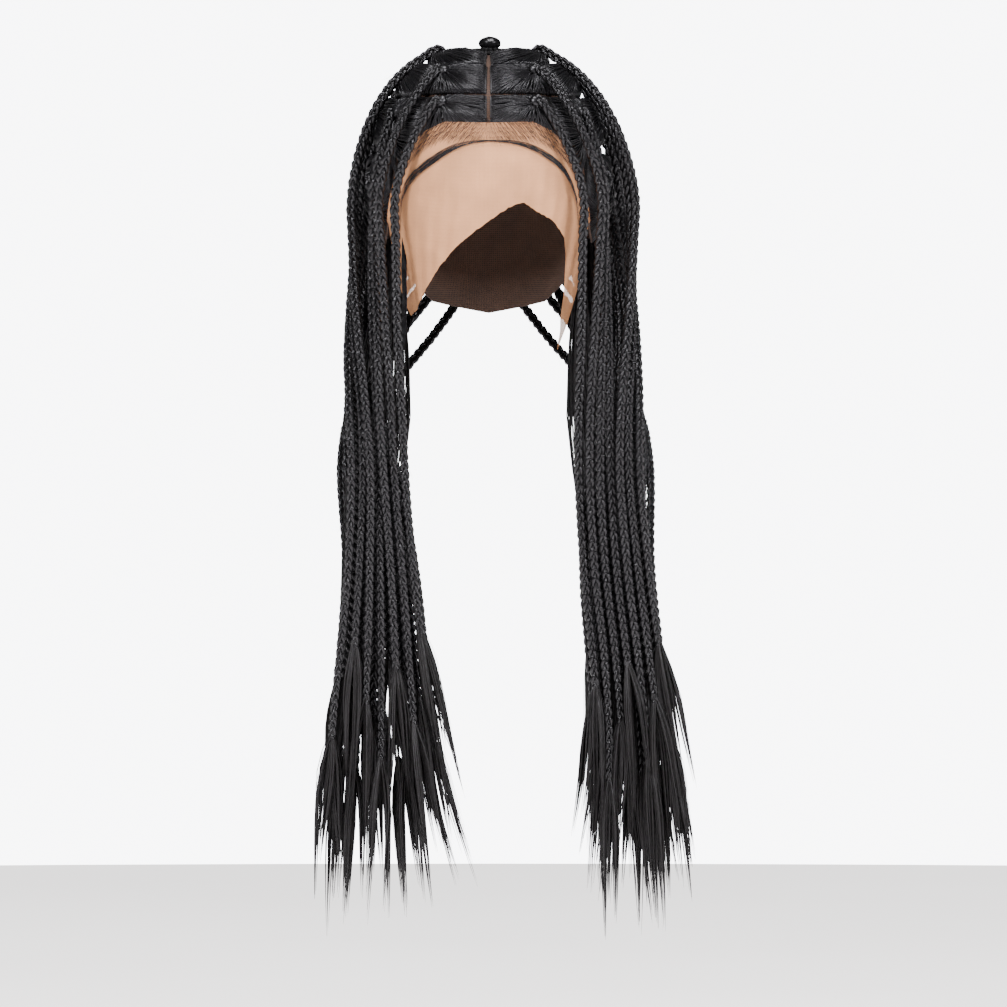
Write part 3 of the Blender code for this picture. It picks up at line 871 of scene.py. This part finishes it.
def comb_section(base, ring, index, side, dice):
    """Lines of the fine strands that are combed from the edges of one section into its braid's root."""
    first, last = section_bounds(ring, index)
    steps = max(3, math.ceil((last - first) / SECTION_STEP))
    knot = (round(steps * KNOT_ACROSS) / steps, KNOT_DOWN)
    middle = (first + last) / 2
    top = ring[1]
    height = CROWN_DROP * math.radians(section_polar(ring, middle, 1.0) - top)
    width = (dome(first, top + SECTION_LEVEL) - dome(last, top + SECTION_LEVEL)).length
    over, under = COMB_OVERHANG / width, COMB_OVERHANG / height
    edge = [(share, -under) for share in spaced(width, dice)]
    edge += [(share, 1 + under) for share in spaced(width, dice)]
    edge += [(-over, share) for share in spaced(height, dice)]
    edge += [(1 + over, share) for share in spaced(height, dice)]
    edge += [(dice.uniform(0.03, 0.97), dice.uniform(0.03, 0.97)) for step in range(len(edge) // 4)]
    lines = []
    sideways = math.sin(math.radians(middle)) ** 2
    for across, down in edge:
        swirl = dice.uniform(-COMB_SWIRL, COMB_SWIRL)
        raised = dice.uniform(0.0, COMB_UNEVEN)
        line = []
        for t in COMB_STEPS:
            ease = t * COMB_GATHER
            u = across + (knot[0] - across) * ease + swirl * math.sin(math.pi * t)
            v = down + (knot[1] - down) * ease - swirl * math.sin(math.pi * t)
            azimuth = first + (last - first) * u
            polar = section_polar(ring, azimuth, v)
            puff = COMB_PUFF * (0.25 + 0.75 * sideways) * math.sin(math.pi * t)
            lift = -COMB_DIP + (COMB_RISE + raised) * min(1.0, t * 8) + puff
            point = laid_on(base, azimuth * side, polar, lift)
            line.append((point, COMB_RADIUS * (0.55 + 0.45 * math.sin(math.pi * min(1.0, 0.15 + 0.9 * t)))))
        lines.append(line)
    return lines


def spaced(length, dice):
    """Shares from 0 to 1 at the combed hair's spacing along a length, a little uneven."""
    count = max(3, round(length / COMB_SPACING))
    return [min(1.0, max(0.0, (step + dice.uniform(-0.3, 0.3)) / count)) for step in range(count + 1)]


def base_of(node_name, name, material):
    """A merged copy of a thin solid in a material, such as the hair under the combed strands."""
    base = own_copy(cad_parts[node_name], name)
    take_up(base)
    bpy.ops.object.mode_set(mode="EDIT")
    bpy.ops.mesh.select_all(action="SELECT")
    bpy.ops.mesh.remove_doubles(threshold=MERGE)
    bpy.ops.object.mode_set(mode="OBJECT")
    base.data.materials.clear()
    base.data.materials.append(material)
    bpy.context.view_layer.update()
    return base


def make_scalp_hair():
    """The combed hair of every section on both sides."""
    dice = random.Random(11)
    for side, turn in (("right", -1), ("left", 1)):
        for ring in RINGS:
            name, top, bottom, parts = ring
            node = f"hair_panel_{side}_{name}"
            base = base_of(node, node + "_base", UNDER)
            lines = []
            for index in range(len(parts) - 1):
                lines += comb_section(base, ring, index, turn, dice)
            combed = strands(node + "_strands", lines, COMBED)
            finish_piece(join([combed, base], f"combed_{side}_{name}"), [node])
    make_top_hair(dice)


def make_top_hair(dice):
    """The combed hair at the crown, which gathers into the braid of the knot."""
    base = base_of("hair_panel_top", "hair_panel_top_base", UNDER)
    knot = dome(*TOP_KNOT)
    lines = []
    for step in range(TOP_STRANDS):
        azimuth = step * 360 / TOP_STRANDS + dice.uniform(-1.2, 1.2)
        start = TOP_POLAR * dice.choice((1.0, 1.0, dice.uniform(0.4, 0.9)))
        rim = dome(azimuth, start)
        line = []
        for t in COMB_STEPS:
            flat = rim.lerp(knot, t * TOP_GATHER)
            around = math.degrees(math.atan2(flat.x, -flat.y))
            share = flat.xy.length / max(dome(around, TOP_POLAR).xy.length, MERGE)
            lift = -TOP_DIP + TOP_RISE * min(1.0, t * 8) + TOP_PUFF * math.sin(math.pi * t)
            place = laid_on(base, around, TOP_POLAR * min(1.0, share), lift)
            line.append((place, COMB_RADIUS * (0.45 + 0.55 * math.sin(math.pi * min(1.0, 0.15 + 0.9 * t)))))
        lines.append(line)
    combed = strands("hair_panel_top_strands", lines, COMBED)
    finish_piece(join([combed, base], "combed_top"), ["hair_panel_top"])


# Lace


def make_cap():
    """The brown lace cap, with its facets smoothed."""
    cap = base_of("lace_cap", "net_cap", CAP_LACE)
    map_over_head(cap)
    take_up(cap)
    bpy.ops.object.shade_smooth_by_angle(angle=math.radians(SMOOTH_ANGLE))
    finish_piece(cap, ["lace_cap"])


def make_front_lace():
    """The uncut sheer lace from the hairline down over the forehead and in front of the ears."""
    bpy.ops.object.select_all(action="DESELECT")
    bpy.ops.mesh.primitive_grid_add(x_subdivisions=LACE_COLUMNS, y_subdivisions=LACE_ROWS, size=2)
    lace = bpy.context.object
    lace.name = "sheer_front"
    dice = random.Random(3)
    wander = [dice.uniform(-LACE_WANDER, LACE_WANDER) for column in range(LACE_COLUMNS + 1)]
    for corner in lace.data.vertices:
        azimuth = corner.co.x * LACE_SPAN
        share = (1 - corner.co.y) / 2
        top = cap_edge_polar(azimuth) - LACE_UNDER_HAIR
        bottom = polar_at_drop(table_value(LACE_EDGE, azimuth) * CROWN_DROP)
        bottom += wander[round((corner.co.x + 1) / 2 * LACE_COLUMNS)]
        polar = top + (bottom - top) * share
        ripple = LACE_RIPPLE * math.sin(azimuth * 0.9 + polar * 0.13) * share
        over_cap = CAP_WALL if share < LACE_SEAM else 0.0
        corner.co = dome(azimuth, polar, LACE_LIFT + over_cap + ripple)
    lace.data.uv_layers.remove(lace.data.uv_layers[0])
    map_over_head(lace)
    lace.data.materials.append(SHEER_LACE)
    take_up(lace)
    bpy.ops.object.shade_smooth()
    finish_piece(lace, ["front_lace"])


# Hairline


def hairline_lines(dice):
    """Short hairs in rows below the hairline, swept back to both sides."""
    lines = []
    for step in range(HAIRLINE_HAIRS):
        azimuth = -HAIRLINE_SPAN + 2 * HAIRLINE_SPAN * step / HAIRLINE_HAIRS + dice.uniform(-0.3, 0.3)
        side = 1 if azimuth > 0 else -1
        row = (step * 7) % HAIRLINE_ROWS
        polar = cap_edge_polar(azimuth) - HAIRLINE_START + row * HAIRLINE_ROW_STEP + dice.uniform(-0.5, 0.5)
        length = dice.uniform(*HAIRLINE_LENGTHS)
        sweep = side * dice.uniform(*HAIRLINE_SWEEPS) * min(1.0, abs(azimuth) / 6 + 0.2)
        line = []
        for point in range(HAIRLINE_STEPS + 1):
            t = point / HAIRLINE_STEPS
            lift = HAIRLINE_LIFT + 0.0002 * math.sin(math.pi * t)
            place = dome(azimuth + sweep * t, polar + length * t, lift)
            line.append((place, HAIRLINE_RADIUS * (1 - 0.72 * t)))
        lines.append(line)
    return lines


def swoop_lines(dice):
    """The baby hair that is laid in a band along the forehead on both sides."""
    lines = []
    for table in SWOOPS:
        for strand in range(SWOOP_STRANDS):
            across = dice.uniform(-0.5, 0.5)
            first = dice.uniform(0, 0.5) if strand % 4 else 0.0
            last = dice.uniform(0.6, 1.0)
            phase = dice.uniform(0, 6.3)
            line = []
            for step in range(SWOOP_STEPS + 1):
                share = first + (last - first) * step / SWOOP_STEPS
                azimuth, drop, width = between_rows(table, share * (len(table) - 1))
                polar = polar_at_drop(drop * CROWN_DROP) + across * width * HEAD_TURN / CROWN_DROP
                wave = SWOOP_WAVE * math.sin(phase + share * 9)
                taper = max(0.1, math.sin(math.pi * min(1.0, 0.12 + 0.86 * step / SWOOP_STEPS)))
                place = dome(azimuth + wave + across, polar, SWOOP_LIFT + 0.0005 * taper)
                line.append((place, SWOOP_RADIUS * taper))
            lines.append(line)
    return lines


def hanging_lock_lines(dice):
    """The thin lock of baby hair in front of the right ear."""
    lines = []
    for strand in range(HANGING_HAIRS):
        across, forward = dice.uniform(-1, 1), dice.uniform(-1, 1)
        short = 0 if strand < HANGING_FULL_HAIRS else dice.uniform(0.0, 1.6)
        last = len(HANGING_LOCK) - 1 - short
        line = []
        for step in range(HANGING_STEPS + 1):
            share = step / HANGING_STEPS
            middle = Vector(between_rows(HANGING_LOCK, share * last))
            loose = HANGING_WIDTH * (1 - 0.75 * share**2)
            aside = Vector((across * loose, forward * loose * 0.6, 0))
            line.append((middle + aside, HANGING_RADIUS * (1 - 0.8 * share)))
        lines.append(line)
    return lines


def make_hairline():
    """The short hairs below the hairline, and the baby hair on the forehead and in front of the ear."""
    dice = random.Random(17)
    finish_piece(strands("hairline_hairs", hairline_lines(dice), COMBED), [])
    laid = swoop_lines(dice) + hanging_lock_lines(dice)
    finish_piece(strands("laid_baby_hair", laid, COMBED), [])


def make_under_hair():
    """Fine loose hair from behind the ears, seen between the braids at the neck on both sides."""
    dice = random.Random(41)
    lines = []
    for strand in range(2 * UNDER_HAIR_STRANDS):
        side = 1 if strand % 2 else -1
        across, forward = dice.uniform(-1, 1), dice.uniform(-1, 1)
        last = dice.uniform(0.5, 1.0)
        line = []
        for step in range(UNDER_HAIR_STEPS + 1):
            share = step / UNDER_HAIR_STEPS
            x, y, z, half = between_rows(UNDER_HAIR, last * share * (len(UNDER_HAIR) - 1))
            point = ((x + across * half) * side, y + forward * UNDER_HAIR_DEPTH, z)
            line.append((point, UNDER_HAIR_RADIUS * (1 - 0.85 * share**2)))
        lines.append(line)
    finish_piece(strands("under_hair", lines, LOOSE), [])


# Surroundings

FLOOR_HEIGHT = -0.72
FLOOR_RADIUS = 3.6
FLOOR_SIDES = 96
CAMERA_PLACE = (0.0105, -6.04, -0.315)
CAMERA_LENS = 306.4
CAMERA_SENSOR = 36
WIG_MIDDLE = Vector((0, 0, -0.3))
LIGHTS = (
    ("key_light", (-1.5, -2.4, 1.5), 0.6, 130),
    ("fill_light", (1.8, -2.1, 0.9), 0.6, 90),
    ("top_light", (0.2, -0.5, 2.2), 0.8, 80),
)
ROOM_GLOW = 0.13
BACKDROP_GLOW = 8.5
FLOOR_GLOW = 2.0


def make_floor():
    """A pale round floor, wide enough to run out of the picture on both sides."""
    bpy.ops.object.select_all(action="DESELECT")
    bpy.ops.mesh.primitive_circle_add(
        vertices=FLOOR_SIDES, radius=FLOOR_RADIUS, fill_type="NGON", location=(0, 0, FLOOR_HEIGHT)
    )
    floor = bpy.context.object
    floor.name = "pale_floor"
    bpy.ops.object.transform_apply(location=True, rotation=True, scale=True)
    material, tree, shader = new_material("pale_floor")
    place = tree.nodes.new("ShaderNodeTexCoord")
    cloud = tree.nodes.new("ShaderNodeTexNoise")
    cloud.inputs["Scale"].default_value = 1.5
    link(tree, place, "Object", cloud, "Vector")
    tint = ramp(tree, cloud, "Fac", ((0.3, (0.87, 0.845, 0.84)), (0.7, (0.90, 0.88, 0.875))))
    link(tree, tint, "Color", shader, "Base Color")
    shader.inputs["Roughness"].default_value = 0.7
    link(tree, tint, "Color", shader, "Emission Color")
    shader.inputs["Emission Strength"].default_value = FLOOR_GLOW
    floor.data.materials.append(material)


def add_light(name, place, size, power):
    """A soft square light that faces the middle of the wig."""
    bpy.ops.object.light_add(type="AREA", location=place)
    light = bpy.context.object
    light.name = name
    light.data.size = size
    light.data.energy = power
    light.rotation_euler = (WIG_MIDDLE - Vector(place)).to_track_quat("-Z", "Y").to_euler()


def make_room():
    """A plain bright backdrop that the camera sees, and a softer glow all round that lights the wig."""
    world = bpy.data.worlds.new("soft_room")
    world.use_nodes = True
    tree = world.node_tree
    glow = tree.nodes["Background"]
    glow.inputs["Color"].default_value = (0.97, 0.98, 1.0, 1.0)
    glow.inputs["Strength"].default_value = ROOM_GLOW
    backdrop = tree.nodes.new("ShaderNodeBackground")
    backdrop.inputs["Color"].default_value = (0.965, 0.97, 1.0, 1.0)
    backdrop.inputs["Strength"].default_value = BACKDROP_GLOW
    path = tree.nodes.new("ShaderNodeLightPath")
    seen = tree.nodes.new("ShaderNodeMixShader")
    tree.links.new(path.outputs["Is Camera Ray"], seen.inputs[0])
    tree.links.new(glow.outputs[0], seen.inputs[1])
    tree.links.new(backdrop.outputs[0], seen.inputs[2])
    tree.links.new(seen.outputs[0], tree.nodes["World Output"].inputs["Surface"])
    bpy.context.scene.world = world


def make_camera():
    """A level camera far in front of the wig, with a long lens."""
    bpy.ops.object.camera_add(location=CAMERA_PLACE, rotation=(math.pi / 2, 0, 0))
    camera = bpy.context.object
    camera.data.lens = CAMERA_LENS
    camera.data.sensor_width = CAMERA_SENSOR
    bpy.context.scene.camera = camera


make_camera()
make_room()
for light in LIGHTS:
    add_light(*light)
make_floor()
make_cap()
make_front_lace()
make_scalp_hair()
make_hairline()
make_under_hair()
make_braids()
